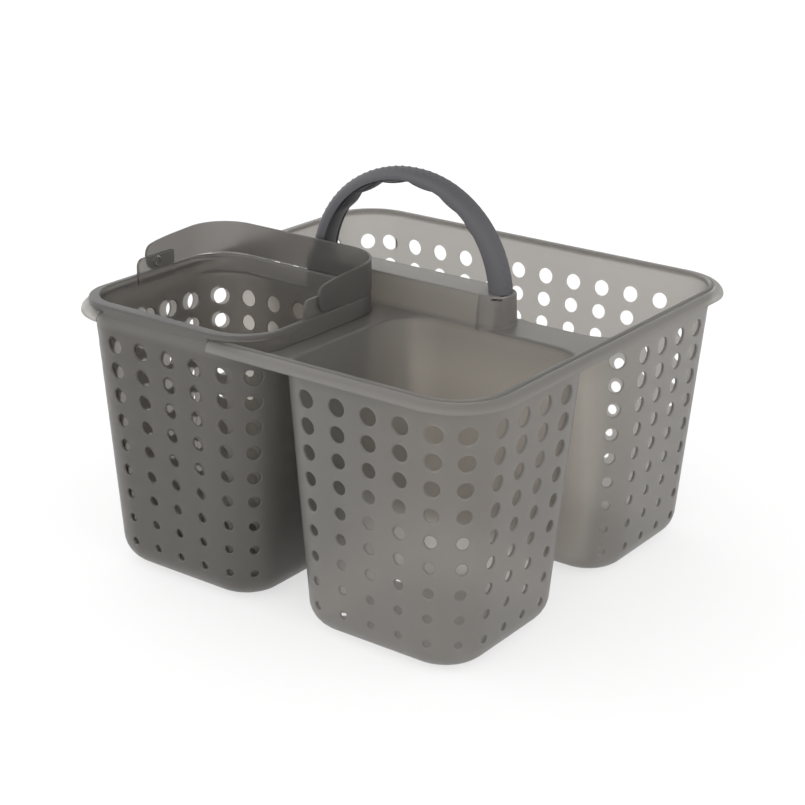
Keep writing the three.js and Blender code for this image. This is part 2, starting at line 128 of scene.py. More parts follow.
# ------------------------------------------------------------------ perforated tapered shells
class Pot:
    """Outer surface of a tapered pot with a rounded floor edge. w runs round the wall, counter-clockwise
    from above: 0-1 front, 1-2 front right corner, 2-3 right, 3-4, 4-5 back, 5-6, 6-7 left, 7-8. v is the
    height on the wall, and below the fillet it goes on along the fillet's arc."""

    def __init__(self, x0, x1, y0, y1, r, floor, fillet, wall):
        self.q, self.r, self.zf, self.fil, self.wall = (x0, x1, y0, y1), r, floor, fillet, wall
        self.zs = floor + fillet * (1 - math.sin(TILT))
        self.v_end = self.zs - fillet * (math.pi / 2 - TILT)
        self.cache = {}

    def level(self, v):
        key = round(v, 6)
        if key in self.cache:
            return self.cache[key]
        if v >= self.zs:
            inset, z, cut, a = DRAFT * (REF_Z - v), v, 0.0, TILT
        else:
            a = min(TILT + (self.zs - v) / self.fil, math.pi / 2)
            cut = self.fil * (math.cos(TILT) - math.cos(a))
            inset, z = DRAFT * (REF_Z - self.zs) + cut, self.zs - self.fil * (math.sin(a) - math.sin(TILT))
        x0, x1, y0, y1 = self.q
        X0, X1, Y0, Y1 = x0 + inset, x1 - inset, y0 + inset, y1 - inset
        R = [max(r - cut, 1.0) for r in self.r]          # FR BR BL FL
        h = math.pi / 2
        L = [X1 - X0 - R[3] - R[0], h * R[0], Y1 - Y0 - R[0] - R[1], h * R[1],
             X1 - X0 - R[1] - R[2], h * R[2], Y1 - Y0 - R[2] - R[3], h * R[3]]
        cum = [0.0]
        for l in L:
            cum.append(cum[-1] + l)
        got = (X0, X1, Y0, Y1, R, L, cum, z, a)
        self.cache[key] = got
        return got

    def point(self, w, v, t=0.0):
        X0, X1, Y0, Y1, R, L, cum, z, a = self.level(v)
        w %= 8.0
        k = int(w)
        f = w - k
        if k == 0: px, py, nx, ny = X0 + R[3] + f * L[0], Y0, 0.0, -1.0
        elif k == 2: px, py, nx, ny = X1, Y0 + R[0] + f * L[2], 1.0, 0.0
        elif k == 4: px, py, nx, ny = X1 - R[1] - f * L[4], Y1, 0.0, 1.0
        elif k == 6: px, py, nx, ny = X0, Y1 - R[2] - f * L[6], -1.0, 0.0
        else:
            c = {1: (X1 - R[0], Y0 + R[0], R[0], -90), 3: (X1 - R[1], Y1 - R[1], R[1], 0),
                 5: (X0 + R[2], Y1 - R[2], R[2], 90), 7: (X0 + R[3], Y0 + R[3], R[3], 180)}[k]
            b = math.radians(c[3] + 90 * f)
            nx, ny = math.cos(b), math.sin(b)
            px, py = c[0] + c[2] * nx, c[1] + c[2] * ny
        ca, sa = math.cos(a), math.sin(a)
        return (px - t * nx * ca, py - t * ny * ca, z + t * sa)

    def shift(self, w, v, da):
        """w moved da millimetres along the wall at height v."""
        L, cum = self.level(v)[5:7]
        w %= 8.0
        k = int(w)
        a = (cum[k] + (w - k) * L[k] + da) % cum[8]
        k = 0
        while a > cum[k + 1] and k < 7:
            k += 1
        return k + (a - cum[k]) / L[k]

    def locate(self, side, c, v):
        """w of the point of a side (0 front, 1 right, 2 back, 3 left) with coordinate c (x or y)."""
        X0, X1, Y0, Y1, R, L = self.level(v)[:6]
        lo, hi, ra, rb = ((X0, X1, R[3], R[0]), (Y0, Y1, R[0], R[1]), (X0, X1, R[2], R[1]), (Y0, Y1, R[3], R[2]))[side]
        if c < lo + ra:
            f = -math.degrees(math.asin(min(1, (lo + ra - c) / ra))) / 90
        elif c > hi - rb:
            f = 1 + math.degrees(math.asin(min(1, (c - hi + rb) / rb))) / 90
        else:
            f = (c - lo - ra) / (hi - rb - lo - ra)
        return (0 + f, 2 + f, 4 + (1 - f), 6 + (1 - f))[side] % 8.0


def shell(name, pot, columns, rows_z, dias, v_top, lip=None, sub=6):
    """The pot's wall with rounded holes. columns is a list of functions v -> w, in rising w, and the part
    of the wall without columns lies between the last and the first."""
    lip = lip or pot.wall / 2
    pitch = rows_z[0] - rows_z[1]
    up = lambda a, b: (b - a) % 8.0
    # fine tracks round the wall: (function of v, hole column that the strip after it belongs to)
    tracks, n = [], len(columns)
    for i, c in enumerate(columns):
        prev, nxt = columns[i - 1], columns[(i + 1) % n]
        gap_l = lambda v, c=c, p=prev: up(p(v), c(v))
        far_l = self_len(pot, prev(REF_Z), c(REF_Z)) > 40
        far_r = self_len(pot, c(REF_Z), nxt(REF_Z)) > 40
        left = (lambda v, c=c: pot.shift(c(v), v, -10.6)) if far_l else (lambda v, c=c, p=prev: (p(v) + up(p(v), c(v)) / 2) % 8.0)
        right = (lambda v, c=c: pot.shift(c(v), v, 10.6)) if far_r else (lambda v, c=c, q=nxt: (c(v) + up(c(v), q(v)) / 2) % 8.0)
        for s in range(sub):
            tracks.append((lambda v, l=left, r=right, s=s: (l(v) + up(l(v), r(v)) * s / sub) % 8.0, i))
        if far_r:
            a0, a1 = right(REF_Z), (lambda v, q=nxt: pot.shift(q(v), v, -10.6))(REF_Z)
            tracks.append((right, None))
            stops = []
            for p in range(8):
                if p % 2: stops += [p + k / 8 for k in range(9)]
                else: stops += [p + k / 6 for k in range(1, 6)]
            span = up(a0, a1)
            near = 0.03
            picked = sorted({round(up(a0, q), 6) for q in stops if near < up(a0, q) < span - near})
            for d in picked:
                tracks.append((lambda v, l=right, q=nxt, k=d / span: (l(v) + up(l(v), pot.shift(q(v), v, -10.6)) * k) % 8.0, None))
    # fine rows
    half = pitch / 2
    vs = [v_top]
    top = rows_z[0] + half
    if v_top - top > 3: vs.append((v_top + top) / 2)
    row_start = {}
    for k, z in enumerate(rows_z):
        row_start[k] = len(vs)
        for s in range(sub):
            vs.append(z + half - pitch * s / sub)
    vs.append(rows_z[-1] - half)
    low = vs[-1]
    steps = max(6, int((low - pot.v_end) / 3.4))
    if low > pot.zs + 4:
        for s in range(1, 4): vs.append(low + (pot.zs - low) * s / 3)
        low, steps = pot.zs, 9
    for s in range(1, steps + 1): vs.append(low + (pot.v_end - low) * s / steps)
    T, V = len(tracks), len(vs)
    ws = [[f(v) for v in vs] for f, _ in tracks]
    verts, faces, ids = [], [], {}

    def vid(i, j, side):
        key = (i % T, j, side)
        if key not in ids:
            ids[key] = len(verts)
            verts.append(pot.point(ws[i % T][j], vs[j], pot.wall * side))
        return ids[key]

    def quad(a, b, c, d, side):
        faces.append((a, b, c, d) if side == 0 else (d, c, b, a))

    in_row = {}
    for k, j0 in row_start.items():
        for s in range(sub): in_row[j0 + s] = k
    for i in range(T):
        for j in range(V - 1):
            if tracks[i][1] is not None and j in in_row:
                continue
            for side in (0, 1):
                quad(vid(i, j + 1, side), vid(i + 1, j + 1, side), vid(i + 1, j, side), vid(i, j, side), side)
    N = 4 * sub
    arcs = [0, 22, 45, 67, 90, 113, 135, 158, 180]
    for ci, c in enumerate(columns):
        i0 = next(i for i in range(T) if tracks[i][1] == ci)
        for k, z in enumerate(rows_z):
            j0 = row_start[k]
            edge = [(i0 + s, j0 + sub) for s in range(sub)] + [(i0 + sub, j0 + sub - s) for s in range(sub)]
            edge += [(i0 + sub - s, j0) for s in range(sub)] + [(i0, j0 + s) for s in range(sub)]
            r = dias[k] / 2

            def ring_wv(rad):
                out = []
                for m in range(N):
                    th = math.radians(-135 + 360 * m / N)
                    v = z + rad * math.sin(th)
                    out.append((pot.shift(c(v), v, rad * math.cos(th)), v))
                return out

            base = ring_wv(r + lip)
            rings = []
            outer = [vid(i, j, 0) for i, j in edge]
            inner = [vid(i, j, 1) for i, j in edge]
            mid = []
            for (i, j), (w, v) in zip(edge, base):
                wb, vb = ws[i % T][j], vs[j]
                d = ((w - wb + 4) % 8.0) - 4
                mid.append(((wb + 0.55 * d) % 8.0, vb + 0.55 * (v - vb)))
            def put(wv, t):
                s = len(verts)
                verts.extend(pot.point(w, v, t) for w, v in wv)
                return list(range(s, s + N))
            rings.append(outer)
            rings.append(put(mid, 0.0))
            for a in arcs:
                ra = math.radians(a)
                rings.append(put(ring_wv(r + lip * (1 - math.sin(ra))), (pot.wall / 2) * (1 - math.cos(ra))))
            rings.append(put(mid, pot.wall))
            rings.append(inner)
            for a, b in zip(rings, rings[1:]):
                for m in range(N):
                    q = (m + 1) % N
                    faces.append((a[m], a[q], b[q], b[m]))
    # top edge and floor
    for i in range(T):
        faces.append((vid(i, 0, 0), vid(i + 1, 0, 0), vid(i + 1, 0, 1), vid(i, 0, 1)))
    faces.append(tuple(vid(i, V - 1, 0) for i in range(T - 1, -1, -1)))
    faces.append(tuple(vid(i, V - 1, 1) for i in range(T)))
    return make(name, verts, faces)


def self_len(pot, w0, w1):
    L, cum = pot.level(REF_Z)[5:7]
    at = lambda w: cum[int(w % 8)] + (w % 8 - int(w % 8)) * L[int(w % 8)]
    return (at(w1) - at(w0)) % cum[8]


def flat(pot, side, c0, drift):
    return lambda v: pot.locate(side, c0 + drift * (REF_Z - v) / 16.0, v)


def fixed(w):
    return lambda v: w


ROWS = [REF_Z - 16 * k for k in range(9)]
DIAS = [10.9 - 0.79 * k for k in range(9)]
A = Pot(7.8, HALF_X, -HALF_Y, -13.8, [R_OUT, R_GAP, R_GAP, 27.0], 0.0, FILLET, WALL)
B = Pot(-HALF_X, -4.6, -HALF_Y, -13.8, [29.0, R_GAP, R_GAP, R_OUT], 0.0, FILLET, WALL)
C = Pot(-HALF_X, HALF_X, 12.9, HALF_Y, [29.0, R_OUT, R_OUT, 29.0], 0.0, FILLET, WALL)

cols_a = [flat(A, 0, 32.5 + 21.3 * i, 0.3495 - 0.2909 * i) for i in range(5)] + [fixed(1 + 49 / 90)]
cols_a += [flat(A, 1, -110.96 + 21.55 * i, 0.2184 - 0.2897 * i) for i in range(4)] + [fixed(3.45)]
cols_b = [fixed(5.55)] + [flat(B, 3, -110.96 + 21.55 * i, 0.2184 - 0.2897 * i) for i in (3, 2, 1, 0)] + [fixed(7 + 41 / 90)]
cols_b += [flat(B, 0, -110.7 + 21.03 * i, 0.5386 - 0.2968 * i) for i in range(5)] + [fixed(1 + 49 / 90)]
cols_c = [fixed(1 + 49 / 90)] + [flat(C, 1, 42.2 + 21.67 * i, 0.6657 - 0.2574 * i) for i in range(4)] + [fixed(3.5)]
cols_c += [flat(C, 2, 118.25 - 21.5 * i, -1.7 + 0.309 * i) for i in range(12)] + [fixed(5.5)]
cols_c += [flat(C, 3, 42.2 + 21.67 * i, 0.6657 - 0.2574 * i) for i in (3, 2, 1, 0)] + [fixed(7 + 41 / 90)]

TOP_V = 159.6
pot_a = shell("pot_a", A, cols_a, ROWS, DIAS, TOP_V)
pot_b = shell("pot_b", B, cols_b, ROWS, DIAS, TOP_V)
for pt in pot_b.data.vertices:                           # the rows sit a little lower towards the back of the outer wall
    lean = min(1.0, max(0.0, (pt.co.y / MM + 115.0) / 45.0)) * min(1.0, max(0.0, (-100.0 - pt.co.x / MM) / 25.0))
    lean *= min(1.0, max(0.0, (157.0 - pt.co.z / MM) / 4.0)) * min(1.0, max(0.0, (pt.co.z / MM - 8.0) / 14.0))
    pt.co.z -= 2.6 * MM * lean
pot_c = shell("pot_c", C, cols_c, [z - 1.4 for z in ROWS], [0.96 * d for d in DIAS], TOP_V)


# ------------------------------------------------------------------ web, upper wall, rim and bridge
def tray(name, grow, z0, z1, seg=20):
    rings = []
    for z in (z0, z1):
        s = DRAFT * (REF_Z - z) - grow
        rings.append(outline(-HALF_X + s, HALF_X - s, -HALF_Y + s, HALF_Y - s, [R_OUT + grow] * 4, z, seg))
    return loft(name, rings)


def bridge_faces(z):
    t = min(1.0, max(0.0, (z - LEDGE) / (BRIDGE_Z - LEDGE)))
    y0, y1 = -13.8 - WALL + DRAFT * (min(z, LEDGE) - REF_Z), 12.9 + WALL - DRAFT * (min(z, LEDGE) - REF_Z)
    return y0 + (-12.0 - y0) * t, y1 + (10.3 - y1) * t


def mouth(name, pot, radii):
    """The pot's inside, opening out with a small round where it meets the web."""
    x0, x1, y0, y1 = pot.q
    inset = WALL + 0.03
    steps = [(150.0, 0.0), (158.7, 0.0)]
    for a in (20, 40, 58, 74):
        steps.append((158.7 + 1.8 * math.sin(math.radians(a)), 1.8 * (1 - math.cos(math.radians(a)))))
    steps += [(160.62, 2.0), (174.0, 2.0)]
    rings = []
    for z, e in steps:
        s = inset + DRAFT * (REF_Z - min(z, LEDGE))
        ring = outline(x0 + s, x1 - s, y0 + s, y1 - s, [r - inset for r in radii], z, 20)
        cx, cy = (x0 + x1) / 2, (y0 + y1) / 2
        # split the long straights so that the round can die away beside the bridge
        fine = []
        for i, p in enumerate(ring):
            q = ring[(i + 1) % len(ring)]
            fine.append(p)
            d = math.hypot(q[0] - p[0], q[1] - p[1])
            if d > 12:
                m = 40
                fine += [(p[0] + (q[0] - p[0]) * k / m, p[1] + (q[1] - p[1]) * k / m, z) for k in range(1, m)]
        out = []
        n = len(fine)
        ti = DRAFT * (REF_Z - LEDGE) + WALL
        for i, p in enumerate(fine):
            a, b = fine[i - 1], fine[(i + 1) % n]
            tx, ty = b[0] - a[0], b[1] - a[1]
            l = math.hypot(tx, ty) or 1
            nx, ny = ty / l, -tx / l
            room = min(HALF_X - ti - abs(p[0]), HALF_Y - ti - abs(p[1]))
            if abs(p[0]) > HALF_X - R_OUT and abs(p[1]) > HALF_Y - R_OUT:
                room = min(room, R_OUT - ti - math.hypot(abs(p[0]) - HALF_X + R_OUT, abs(p[1]) - HALF_Y + R_OUT))
            g = max(0.0, min(1.0, (room - 0.15) / 3.0))
            if min(abs(p[1] + 15), abs(p[1] - 14)) < 3.5:
                g *= max(0.0, min(1.0, (abs(p[0]) - 75.0) / 3.0))
            out.append((p[0] + nx * e * g, p[1] + ny * e * g, z))
        rings.append(out)
    return loft(name, rings)


body = tray("tote", 0.03, 158.5, 166.0)
boolean(body, tray("inside", -WALL - 0.0, LEDGE, 175.0), "DIFFERENCE")
bridge = []
for z, e in ((158.9, -1.2), (160.6, -0.9), (161.3, -0.35), (162.3, 0.0), (170.0, 0.0), (178.9, 0.0), (179.3, 0.08), (179.6, 0.25), (179.85, 0.5), (180.0, 0.9)):
    y0, y1 = bridge_faces(z)
    r = 12.0 - 1.5 * (z - LEDGE) / (BRIDGE_Z - LEDGE) - e
    half = 75.0 - 0.6 * (BRIDGE_Z - z) / (BRIDGE_Z - LEDGE) - e
    bridge.append(outline(-half, half, y0 - 0.03 + max(e, 0), y1 + 0.03 - max(e, 0), [r] * 4, z, 20))
boolean(body, loft("bridge", bridge), "UNION")
for nm, pot, rr in (("mouth_a", A, [R_OUT, R_GAP, R_GAP, 27.0]), ("mouth_b", B, [29.0, R_GAP, R_GAP, R_OUT]), ("mouth_c", C, [29.0, R_OUT, R_OUT, 29.0])):
    boolean(body, mouth(nm, pot, rr), "DIFFERENCE")
hollow = []
for z in (150.0, 178.0):
    y0, y1 = bridge_faces(z)
    hollow.append((y0 + WALL + 0.02, y1 - WALL - 0.02, z))
for x0, x1 in ((-68.4, -59.0), (-57.0, 57.0), (59.0, 68.4)):
    q = [[(x0, a, z), (x1, a, z), (x1, b, z), (x0, b, z)] for a, b, z in hollow]
    boolean(body, loft("hollow", q), "DIFFERENCE")
for s in (-1, 1):
    xa, xb = sorted((s * 68.0, s * 71.95))
    boolean(body, box("barb_room", xa, xb, -5.97, 5.87, 150.0, 176.1), "DIFFERENCE")
for s in (-1, 1):
    xa, xb = sorted((s * 61.4, s * 73.4))
    boolean(body, box("pocket", xa, xb, -8.5, 8.5, 179.2, 182.0, 3.5), "DIFFERENCE")
    for x0, x1 in ((66.4, 72.4),):
        xa, xb = sorted((s * x0, s * x1))
        boolean(body, box("latch_slot", xa, xb, -14.0, -5.0, 177.5, 178.8), "DIFFERENCE")
    xa, xb = sorted((s * 62.1, s * 70.9))
    boolean(body, box("socket", xa, xb, -5.9, 5.9, 176.0, 182.0), "DIFFERENCE")

# rim: rounded inner bead, a fine crease, and a broad band that turns down into the skirt
RIM = [(-0.03, 164.4), (-0.03, 167.0), (0.25, 167.65), (0.8, 168.08), (1.6, 168.2), (2.4, 168.05), (2.9, 167.6), (3.15, 166.95),
       (3.45, 166.9), (3.75, 167.35), (4.5, 167.6), (5.8, 167.5), (7.1, 167.0), (8.3, 166.1), (9.2, 165.0), (9.75, 163.8), (9.95, 162.9),
       (9.9, 162.45), (9.55, 162.2), (8.9, 162.2), (8.5, 162.5), (8.35, 163.4), (7.7, 164.4), (6.6, 165.2), (5.2, 165.7), (3.4, 166.0), (2.3, 165.7), (1.0, 165.0)]


def sweep_rim(name, profile, seg=24):
    paths = []
    for o, z in profile:
        o *= 0.985
        s = -(o - WALL) - DRAFT * (168.2 - REF_Z)
        grow_y = 0.34 * o / 10
        r = R_OUT + (o - WALL)
        paths.append(outline(-HALF_X + s, HALF_X - s, -HALF_Y + s + grow_y, HALF_Y - s - grow_y, [r] * 4, z, seg))
    n = len(paths[0])
    rings = [[paths[k][i] for k in range(len(profile))] for i in range(n)]
    return loft(name, rings, caps=False, loop=True)


rim = sweep_rim("rim", RIM)
boolean(rim, box("notch", -116.0, -31.5, -175.0, -144.1, 150.0, 176.0, 0.9), "DIFFERENCE")
boolean(body, rim, "UNION")
for p in (pot_a, pot_b, pot_c):
    boolean(body, p, "UNION")
# drain holes at the edges of the pots' floors
dv, df = [], []
for cx, cy in ((32.5, -106.5), (32.5, -49.8), (116.3, -106.5), (116.3, -49.8), (-29.3, -106.5), (-29.3, -49.8), (-116.3, -106.5), (-116.3, -49.8),
               (-116.3, 49.4), (-116.3, 106.0), (116.3, 49.4), (116.3, 106.0)):
    n0 = len(dv)
    for z in (-6.0, 8.0):
        dv += [(cx + 3.6 * math.cos(math.pi * k / 12), cy + 3.6 * math.sin(math.pi * k / 12), z) for k in range(24)]
    df += [(n0 + k, n0 + (k + 1) % 24, n0 + 24 + (k + 1) % 24, n0 + 24 + k) for k in range(24)]
    df += [tuple(n0 + k for k in range(23, -1, -1)), tuple(n0 + 24 + k for k in range(24))]
boolean(body, make("drains", dv, df), "DIFFERENCE")

# ------------------------------------------------------------------ lift-out basket
K = Pot(BK_X - BK_HX, BK_X + BK_HX, BK_Y - BK_HY, BK_Y + BK_HY, [26.8] * 4, 2.5, 16.5, 1.8)
krows = [144.2 - 16 * k for k in range(8)]
kdias = [10.6 - 0.79 * k for k in range(8)]
kd = lambda c, mid, half: -DRAFT * 16 * (c - mid) / half
kx = [-113.2 + 20.3 * i for i in range(5)]
ky = [-104.1 + 20.0 * i for i in range(4)]
cols_k = [flat(K, 0, x, kd(x, BK_X, BK_HX)) for x in kx] + [fixed(1.5)]
cols_k += [flat(K, 1, y, kd(y, BK_Y, BK_HY)) for y in ky] + [fixed(3.5)]
cols_k += [flat(K, 2, x, kd(x, BK_X, BK_HX)) for x in reversed(kx)] + [fixed(5.5)]
cols_k += [flat(K, 3, y, kd(y, BK_Y, BK_HY)) for y in reversed(ky)] + [fixed(7.5)]
basket = shell("basket_wall", K, cols_k, krows, kdias, 169.6)

fx0, fx1, fy0, fy1 = -142.5, -4.5, -147.0, -14.9
fl = []
for z, e in ((168.62, 0.4), (169.0, 0.08), (169.5, 0.0), (171.0, 0.02), (171.45, 0.15), (171.75, 0.4), (171.93, 0.8), (172.0, 1.4)):
    fl.append(outline(fx0 + e, fx1 - e, fy0 + e, fy1 - e, [29.0 - e] * 4, z, 18))
top = loft("flange", fl)
band = loft("band", [outline(-137.6, BK_X + 68.3, -137.6, -15.0, [27.0] * 4, z, 18) for z in (161.0, 169.2)])
boolean(band, box("cut", -220, -60, -220, -62, 150, 168.7), "DIFFERENCE")
boolean(band, box("cut", -220, -113, -220, 30, 150, 168.72), "DIFFERENCE")
taper = [(-62, -220), (30, -220), (30, -90), (-4.4, -90), (-8.6, -126), (-62, -126)]
boolean(band, loft("cut", [[(x, y, z) for x, y in taper] for z in (150.0, 168.74)]), "DIFFERENCE")
boolean(top, band, "UNION")
lip = loft("lip", [outline(-114.5, -34.0, -147.02, -145.2, [0.85] * 4, z, 5) for z in (166.2, 169.4)])
boolean(top, lip, "UNION")
for s in (-1, 1):
    xa, xb = sorted((BK_X + s * 63.9, BK_X + s * 66.1))
    prof = [(PIV_Y - 16, 166.0), (PIV_Y + 16, 166.0)]
    for cy, er, a0 in ((PIV_Y + 14.4, 1.6, 0), (PIV_Y - 11.0, 5.0, 90)):
        for i in range(9):
            a = math.radians(a0 + 90 * i / 8)
            prof.append((cy + er * math.cos(a), 182.25 - er + er * math.sin(a)))
    def sect(x, e):
        out = []
        for y, z in prof:
            yy = PIV_Y + (y - PIV_Y) * (1 - e / 16)
            out.append((x, yy, min(z, 182.25 - e) if z > 170 else z))
        return out
    ear = loft("ear", [sect(xa, 0.35), sect(xa + 0.35, 0.0), sect(xb - 0.35, 0.0), sect(xb, 0.35)])
    boolean(top, ear, "UNION")
inner = []
for z, e in ((160.0, 0.0), (170.6, 0.0), (171.2, 0.2), (171.7, 0.6), (172.05, 1.2), (200.0, 1.2)):
    s = 1.83 + DRAFT * (REF_Z - min(z, 172)) - e
    inner.append(outline(BK_X - BK_HX + s, BK_X + BK_HX - s, BK_Y - BK_HY + s, BK_Y + BK_HY - s, [25.0 + e] * 4, z, 18))
cut = loft("mouth_k", inner)
for s in (-1, 1):
    xa, xb = sorted((BK_X + s * 63.88, BK_X + s * 67.5))
    boolean(cut, box("keep", xa, xb, PIV_Y - 16.4, PIV_Y + 16.4, 164.0, 210.0), "DIFFERENCE")
boolean(top, cut, "DIFFERENCE")
boolean(basket, top, "UNION")
for s in (-1, 1):
    xa, xb = sorted((BK_X + s * 60, BK_X + s * 70))
    boolean(basket, rod_x("pin_hole", PIV_Y, PIV_Z, [(xa, 3.0), (xb, 3.0)]), "DIFFERENCE")
basket.name = "basket_moulding"

# ------------------------------------------------------------------ bail
XO, BACK, RC, BT = 68.3, -14.7, 27.0, 1.8


def bail_path():
    pts = []                                            # (x, y, nx, ny) on the outer face, left arm to right arm
    ys = [-82.25, -82.1, -81.6, -80.8, -79.6, -78.0, -76.4, -74.5, -72, -68, -64, -60, -55, -50, -46, BACK - RC - 0.01]
    left = [(BK_X - XO, y, -1.0, 0.0) for y in ys]
    corner = []
    for i in range(1, 17):
        a = math.pi - (math.pi / 2) * i / 17
        corner.append((BK_X - XO + RC + RC * math.cos(a), BACK - RC + RC * math.sin(a), math.cos(a), math.sin(a)))
    mid = [(BK_X + (XO - RC) * (i / 8 * 2 - 1), BACK, 0.0, 1.0) for i in range(9)]
    half = left + corner + mid
    return half, [(2 * BK_X - x, y, -nx, ny) for x, y, nx, ny in reversed(left + corner)]


def bail_z(y):
    d = y - PIV_Y
    if d < 0:
        zb = PIV_Z - math.sqrt(max(5.8 ** 2 - d * d, 0.05))
    else:
        zb = 172.4
    top = [(-82.3, 182.3), (-82.1, 184.4), (-81.6, 185.8), (-80.8, 187.0), (-79.6, 188.0), (-78.0, 188.7), (-76.4, 189.1), (-74, 189.5), (-71, 190.0),
           (-61, 191.0), (-43, 192.0), (-34, 192.5), (-24, 192.85), (-14, 193.0)]
    for (ya, za), (yb, zb2) in zip(top, top[1:]):
        if ya <= y <= yb:
            return max(zb, 172.4), za + (zb2 - za) * (y - ya) / (yb - ya)
    return max(zb, 172.4), 193.0 if y > -20 else 182.3


first, last = bail_path()
rings = []
for x, y, nx, ny in first + last:
    zb, zt = bail_z(y)
    ring, rr = [], 0.6
    for cn, cz, a0 in ((-rr, zt - rr, 0), (-BT + rr, zt - rr, 90), (-BT + rr, zb + rr, 180), (-rr, zb + rr, 270)):
        for i in range(5):
            a = math.radians(a0 + 90 * i / 4)
            ring.append((cn + rr * math.cos(a), cz + rr * math.sin(a)))
    rings.append([(x + nx * n, y + ny * n, z) for n, z in ring])
bail = loft("bail_moulding", [list(reversed(r)) for r in rings])
for s in (-1, 1):
    if s < 0: sec = [(BK_X - XO + 0.5, 2.6), (BK_X - 63.62, 2.6), (BK_X - 63.6, 3.3), (BK_X - 63.2, 3.35), (BK_X - 62.95, 3.1), (BK_X - 62.8, 2.6), (BK_X - 62.95, 2.2), (BK_X - 63.05, 0.6)]
    else: sec = [(BK_X + 63.05, 0.6), (BK_X + 62.95, 2.2), (BK_X + 62.8, 2.6), (BK_X + 62.95, 3.1), (BK_X + 63.2, 3.35), (BK_X + 63.6, 3.3), (BK_X + 63.62, 2.6), (BK_X + XO - 0.5, 2.6)]
    boolean(bail, rod_x("stud", PIV_Y, PIV_Z, sec), "UNION")

# ------------------------------------------------------------------ handle: soft grip and hard core
ARC_Z, ARC_R = 172.0, 72.0
TH0 = math.asin((BRIDGE_Z - 0.4 - ARC_Z) / ARC_R)


def inner_r(th):
    t = min(1.0, max(0.0, (math.sin(th) - math.sin(TH0)) / (1 - math.sin(TH0))))
    return 62.5 + 2.7 * t


def nub(s, u):
    """Height of the small raised nubs at arc length s and crossways distance u."""
    p = 5.0
    best = 0.0
    row = round(u / 3.6)
    if abs(row) > 1: return 0.0
    off = p / 2 if row % 2 else 0.0
    ds = (s + off) / p
    d = math.hypot((ds - round(ds)) * p, u - row * 3.6)
    if d < 1.15: best = 0.42 * (0.5 + 0.5 * math.cos(math.pi * d / 1.15))
    return best


def grip_ring(th):
    w, ri = 8.0, inner_r(th)
    pts = []                                            # (y, r)
    pts += [(-w + 0.2, ri), (-w + 0.85, ri), (-w + 1.05, ri + 0.2), (-w + 2.2, ARC_R - 3.7), (w - 2.2, ARC_R - 3.7), (w - 1.05, ri + 0.2), (w - 0.85, ri), (w - 0.2, ri), (w, ri + 0.2)]
    cr = ARC_R - 0.42 - ri - 0.8 + 1.15 * abs(math.cos(th))
    M = 46
    s = ARC_R * th
    for i in range(M + 1):
        a = math.pi * i / M
        ca, sa = math.cos(a), math.sin(a)
        y = w * (abs(ca) ** 0.8) * (1 if ca >= 0 else -1)
        r = ri + 0.8 + cr * (sa ** 0.8 if sa > 0 else 0)
        h = nub(s, y * 1.05) if abs(y) < 6.2 else 0.0
        ny, nr = ca / w, sa / cr
        l = math.hypot(ny, nr) or 1
        pts.append((y + h * ny / l, r + h * nr / l))
    pts.append((-w, ri + 0.2))
    return pts


def arc_sweep(name, ring_of, steps):
    rings = []
    for i in range(steps + 1):
        th = TH0 + (math.pi - 2 * TH0) * i / steps
        rings.append([(r * math.cos(th), y, ARC_Z + r * math.sin(th)) for y, r in ring_of(th)])
    return loft(name, rings)


def below(name, z):
    return box(name, -120, 120, -40, 40, 100, z)


grip = arc_sweep("grip", grip_ring, 380)
boolean(grip, below("cut", BRIDGE_Z - 0.4), "DIFFERENCE")


def core_ring(th):
    w, top_r = 6.45, ARC_R - 4.2
    fade = min(1.0, max(0.0, (math.sin(th) - 0.5) * 5))
    ph = (th - math.pi / 2) * 65.2 / 22.0
    low = inner_r(th) - 0.75 - 2.4 * fade * abs(math.sin(math.pi * ph)) ** 0.75
    pts = []
    for i in range(13):
        a = math.pi + math.pi * i / 12
        pts.append((w * math.cos(a) if abs(math.cos(a)) > 1e-6 else 0.0, low + 1.6 + 1.6 * math.sin(a)))
    return pts + [(5.3, top_r), (-5.3, top_r)]


core = arc_sweep("core", core_ring, 200)
boolean(core, below("cut", BRIDGE_Z - 0.3), "DIFFERENCE")
for s in (-1, 1):
    xa, xb = sorted((s * 62.5, s * 66.8))
    boolean(core, box("t1", xa, xb, -5.25, 5.25, 178.4, 182.0), "UNION")
    xa, xb = sorted((s * 62.48, s * 70.5))
    boolean(core, box("t2", xa, xb, -5.45, 5.45, 165.0, 178.9), "UNION")
grip.name, core.name = "soft_grip", "handle_spine"


# ------------------------------------------------------------------ shading
def face_out(o):
    """Turn a closed mesh's faces outwards."""
    bm = bmesh.new()
    bm.from_mesh(o.data)
    if bm.calc_volume(signed=True) < 0:
        bmesh.ops.reverse_faces(bm, faces=bm.faces)
        bm.to_mesh(o.data)
    bm.free()


def smooth(o, angle=32):
    face_out(o)
    for p in o.data.polygons:
        p.use_smooth = True
    o.data.set_sharp_from_angle(angle=math.radians(angle))
    m = o.modifiers.new("weighted", "WEIGHTED_NORMAL")
    m.keep_sharp, m.weight, m.mode = True, 60, "FACE_AREA"


for o, a in ((body, 34), (basket, 34), (bail, 40), (grip, 40), (core, 40)):
    smooth(o, a)


def node(nt, kind, **kw):
    n = nt.nodes.new(kind)
    for k, v in kw.items():
        setattr(n, k, v)
    return n


